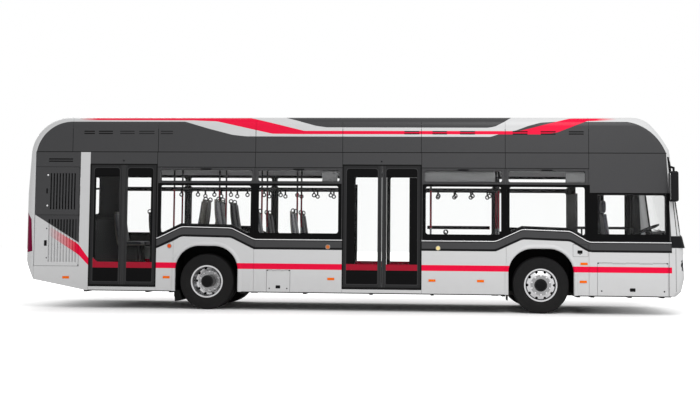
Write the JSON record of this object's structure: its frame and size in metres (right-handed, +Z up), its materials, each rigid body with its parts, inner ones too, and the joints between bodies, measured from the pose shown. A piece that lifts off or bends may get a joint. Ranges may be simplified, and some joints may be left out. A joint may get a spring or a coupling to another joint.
{
  "type": "city bus",
  "caption": "Low-floor twelve-metre city bus with gliding doors, steered front wheels, twin rear wheels, glazed hollow saloon with seats, and hinged service lids.",
  "frame": {"origin": "on the ground under the middle of the bus's box", "axes": "+X forward along the bus, +Y to its left, +Z up"},
  "size_m": [11.9998, 3, 3.52],
  "materials": {
    "body_silver": "gloss",
    "body_dark": "gloss",
    "glass_clear": "gloss",
    "glass_tint": "gloss",
    "gloss_black": "gloss",
    "trim_black": "matte",
    "door_black": "satin",
    "rail_black": "satin",
    "rail_red": "satin",
    "chassis_black": "satin",
    "engine_iron": "satin",
    "floor_grey": "matte",
    "lining_grey": "matte",
    "seat_plastic": "satin",
    "seat_fabric": "matte",
    "lamp_clear": "gloss",
    "lamp_red": "gloss",
    "lamp_amber": "gloss",
    "tyre": "matte",
    "rim_metal": "satin"
  },
  "bodies": {
    "body": {"underframe": "chassis_black", "saloon_floor": "floor_grey", "inner_panels": "lining_grey", "side_wall_right": "body_dark", "side_wall_left": "body_dark", "skirt_panels": "body_silver", "roof_fairings": "body_dark", "roof_cover": "body_silver", "windscreen_surround": "body_silver", "cowl": "gloss_black", "front_mask": "body_silver", "rear_panel": "body_silver", "windscreen": "glass_clear", "windows": "glass_tint", "headlamps": "lamp_clear", "tail_lamps": "lamp_red", "side_lamps": "lamp_amber", "mirrors": "gloss_black", "engine_block": "engine_iron", "passenger_seats": "seat_plastic", "grab_rails": "rail_red", "driver_seat": "seat_fabric", "dashboard": "trim_black", "front_axle": "chassis_black", "rear_axle": "chassis_black", "wheel_boxes": "trim_black"},
    "knuckle_right": {"knuckle_right": "chassis_black"},
    "wheel_front_right": {"tyre_front_right": "tyre", "rim_front_right": "rim_metal"},
    "wheel_rear_right": {"tyre_rear_right": "tyre", "rim_rear_right": "rim_metal"},
    "knuckle_left": {"knuckle_left": "chassis_black"},
    "wheel_front_left": {"tyre_front_left": "tyre", "rim_front_left": "rim_metal"},
    "wheel_rear_left": {"tyre_rear_left": "tyre", "rim_rear_left": "rim_metal"},
    "steering_wheel": {"steering_wheel": "trim_black"},
    "engine_lid": {"engine_lid": "body_silver"},
    "radiator_hatch": {"radiator_hatch": "body_dark"},
    "engine_side_hatch": {"engine_side_hatch": "body_silver"},
    "service_flap": {"service_flap": "body_silver"},
    "cab_flap": {"cab_flap": "body_silver"},
    "door_post_right_rear_rear": {"door_post_right_rear_rear": "rail_black"},
    "door_leaf_right_rear_rear": {"door_leaf_right_rear_rear": "door_black"},
    "door_post_right_rear_front": {"door_post_right_rear_front": "rail_black"},
    "door_leaf_right_rear_front": {"door_leaf_right_rear_front": "door_black"},
    "door_post_right_mid_rear": {"door_post_right_mid_rear": "rail_black"},
    "door_leaf_right_mid_rear": {"door_leaf_right_mid_rear": "door_black"},
    "door_post_right_mid_front": {"door_post_right_mid_front": "rail_black"},
    "door_leaf_right_mid_front": {"door_leaf_right_mid_front": "door_black"},
    "door_post_left_mid_rear": {"door_post_left_mid_rear": "rail_black"},
    "door_leaf_left_mid_rear": {"door_leaf_left_mid_rear": "door_black"},
    "door_post_left_mid_front": {"door_post_left_mid_front": "rail_black"},
    "door_leaf_left_mid_front": {"door_leaf_left_mid_front": "door_black"},
    "door_post_left_front_rear": {"door_post_left_front_rear": "rail_black"},
    "door_leaf_left_front_rear": {"door_leaf_left_front_rear": "door_black"},
    "door_post_left_front_front": {"door_post_left_front_front": "rail_black"},
    "door_leaf_left_front_front": {"door_leaf_left_front_front": "door_black"}
  },
  "joints": [
    {"name": "steer_right", "type": "hinge", "parent": "body", "child": "knuckle_right", "pos_m": [3.43, -1.005, 0.508], "axis": [0, 0, 1], "range_deg": [-45, 45]},
    {"name": "roll_front_right", "type": "hinge", "parent": "knuckle_right", "child": "wheel_front_right", "pos_m": [3.43, -1.08, 0.508], "axis": [0, 1, 0], "continuous": true},
    {"name": "roll_rear_right", "type": "hinge", "parent": "body", "child": "wheel_rear_right", "pos_m": [-2.6, -1.08, 0.508], "axis": [0, 1, 0], "continuous": true},
    {"name": "steer_left", "type": "hinge", "parent": "body", "child": "knuckle_left", "pos_m": [3.43, 1.005, 0.508], "axis": [0, 0, 1], "range_deg": [-45, 45]},
    {"name": "roll_front_left", "type": "hinge", "parent": "knuckle_left", "child": "wheel_front_left", "pos_m": [3.43, 1.08, 0.508], "axis": [0, 1, 0], "continuous": true},
    {"name": "roll_rear_left", "type": "hinge", "parent": "body", "child": "wheel_rear_left", "pos_m": [-2.6, 1.08, 0.508], "axis": [0, 1, 0], "continuous": true},
    {"name": "steering_wheel_turn", "type": "hinge", "parent": "body", "child": "steering_wheel", "pos_m": [5.393, -0.74, 1.518], "axis": [-0.3907, 0, 0.9205], "range_deg": [-810, 810]},
    {"name": "engine_lid_swing", "type": "hinge", "parent": "body", "child": "engine_lid", "pos_m": [-5.994, 0, 1.651], "axis": [0, 1, 0], "range_deg": [0, 80]},
    {"name": "radiator_hatch_swing", "type": "hinge", "parent": "body", "child": "radiator_hatch", "pos_m": [-4.985, -1.269, 2.1445], "axis": [0, 0, 1], "range_deg": [0, 100]},
    {"name": "engine_side_hatch_swing", "type": "hinge", "parent": "body", "child": "engine_side_hatch", "pos_m": [-4.985, -1.269, 1.232], "axis": [0, 0, 1], "range_deg": [0, 100]},
    {"name": "service_flap_swing", "type": "hinge", "parent": "body", "child": "service_flap", "pos_m": [-1.279, -1.269, 0.724], "axis": [-1, 0, 0], "range_deg": [0, 85]},
    {"name": "cab_flap_swing", "type": "hinge", "parent": "body", "child": "cab_flap", "pos_m": [5.034, -1.269, 0.911], "axis": [-1, 0, 0], "range_deg": [0, 85]},
    {"name": "door_right_rear_swing", "type": "hinge", "parent": "body", "child": "door_post_right_rear_rear", "pos_m": [-4.83, -1.185, 0.4003], "axis": [0, 0, 1], "range_deg": [0, 78]},
    {"name": "door_right_rear_leaf_rear", "type": "hinge", "parent": "door_post_right_rear_rear", "child": "door_leaf_right_rear_rear", "pos_m": [-4.51875, -1.185, 0.413], "axis": [0, 0, -1], "range_deg": [0, 156]},
    {"name": "door_right_rear_swing_front", "type": "hinge", "parent": "body", "child": "door_post_right_rear_front", "pos_m": [-3.495, -1.185, 0.4003], "axis": [0, 0, -1], "range_deg": [0, 78]},
    {"name": "door_right_rear_leaf_front", "type": "hinge", "parent": "door_post_right_rear_front", "child": "door_leaf_right_rear_front", "pos_m": [-3.80625, -1.185, 0.413], "axis": [0, 0, 1], "range_deg": [0, 156]},
    {"name": "door_right_mid_swing", "type": "hinge", "parent": "body", "child": "door_post_right_mid_rear", "pos_m": [-0.165, -1.185, 0.4003], "axis": [0, 0, 1], "range_deg": [0, 78]},
    {"name": "door_right_mid_leaf_rear", "type": "hinge", "parent": "door_post_right_mid_rear", "child": "door_leaf_right_mid_rear", "pos_m": [0.19, -1.185, 0.413], "axis": [0, 0, -1], "range_deg": [0, 156]},
    {"name": "door_right_mid_swing_front", "type": "hinge", "parent": "body", "child": "door_post_right_mid_front", "pos_m": [1.345, -1.185, 0.4003], "axis": [0, 0, -1], "range_deg": [0, 78]},
    {"name": "door_right_mid_leaf_front", "type": "hinge", "parent": "door_post_right_mid_front", "child": "door_leaf_right_mid_front", "pos_m": [0.99, -1.185, 0.413], "axis": [0, 0, 1], "range_deg": [0, 156]},
    {"name": "door_left_mid_swing", "type": "hinge", "parent": "body", "child": "door_post_left_mid_rear", "pos_m": [-0.165, 1.185, 0.4003], "axis": [0, 0, -1], "range_deg": [0, 78]},
    {"name": "door_left_mid_leaf_rear", "type": "hinge", "parent": "door_post_left_mid_rear", "child": "door_leaf_left_mid_rear", "pos_m": [0.19, 1.185, 0.413], "axis": [0, 0, 1], "range_deg": [0, 156]},
    {"name": "door_left_mid_swing_front", "type": "hinge", "parent": "body", "child": "door_post_left_mid_front", "pos_m": [1.345, 1.185, 0.4003], "axis": [0, 0, 1], "range_deg": [0, 78]},
    {"name": "door_left_mid_leaf_front", "type": "hinge", "parent": "door_post_left_mid_front", "child": "door_leaf_left_mid_front", "pos_m": [0.99, 1.185, 0.413], "axis": [0, 0, -1], "range_deg": [0, 156]},
    {"name": "door_left_front_swing", "type": "hinge", "parent": "body", "child": "door_post_left_front_rear", "pos_m": [4.26, 1.185, 0.4003], "axis": [0, 0, -1], "range_deg": [0, 78]},
    {"name": "door_left_front_leaf_rear", "type": "hinge", "parent": "door_post_left_front_rear", "child": "door_leaf_left_front_rear", "pos_m": [4.5575, 1.185, 0.413], "axis": [0, 0, 1], "range_deg": [0, 156]},
    {"name": "door_left_front_swing_front", "type": "hinge", "parent": "body", "child": "door_post_left_front_front", "pos_m": [5.54, 1.185, 0.4003], "axis": [0, 0, 1], "range_deg": [0, 78]},
    {"name": "door_left_front_leaf_front", "type": "hinge", "parent": "door_post_left_front_front", "child": "door_leaf_left_front_front", "pos_m": [5.2425, 1.185, 0.413], "axis": [0, 0, -1], "range_deg": [0, 156]}
  ],
  "couplings": [
    {"joint": "steer_left", "follows": "steer_right", "ratio": 1},
    {"joint": "steering_wheel_turn", "follows": "steer_right", "ratio": 18},
    {"joint": "door_right_rear_leaf_rear", "follows": "door_right_rear_swing", "ratio": 2},
    {"joint": "door_right_rear_swing_front", "follows": "door_right_rear_swing", "ratio": 1},
    {"joint": "door_right_rear_leaf_front", "follows": "door_right_rear_swing", "ratio": 2},
    {"joint": "door_right_mid_leaf_rear", "follows": "door_right_mid_swing", "ratio": 2},
    {"joint": "door_right_mid_swing_front", "follows": "door_right_mid_swing", "ratio": 1},
    {"joint": "door_right_mid_leaf_front", "follows": "door_right_mid_swing", "ratio": 2},
    {"joint": "door_left_mid_leaf_rear", "follows": "door_left_mid_swing", "ratio": 2},
    {"joint": "door_left_mid_swing_front", "follows": "door_left_mid_swing", "ratio": 1},
    {"joint": "door_left_mid_leaf_front", "follows": "door_left_mid_swing", "ratio": 2},
    {"joint": "door_left_front_leaf_rear", "follows": "door_left_front_swing", "ratio": 2},
    {"joint": "door_left_front_swing_front", "follows": "door_left_front_swing", "ratio": 1},
    {"joint": "door_left_front_leaf_front", "follows": "door_left_front_swing", "ratio": 2}
  ]
}
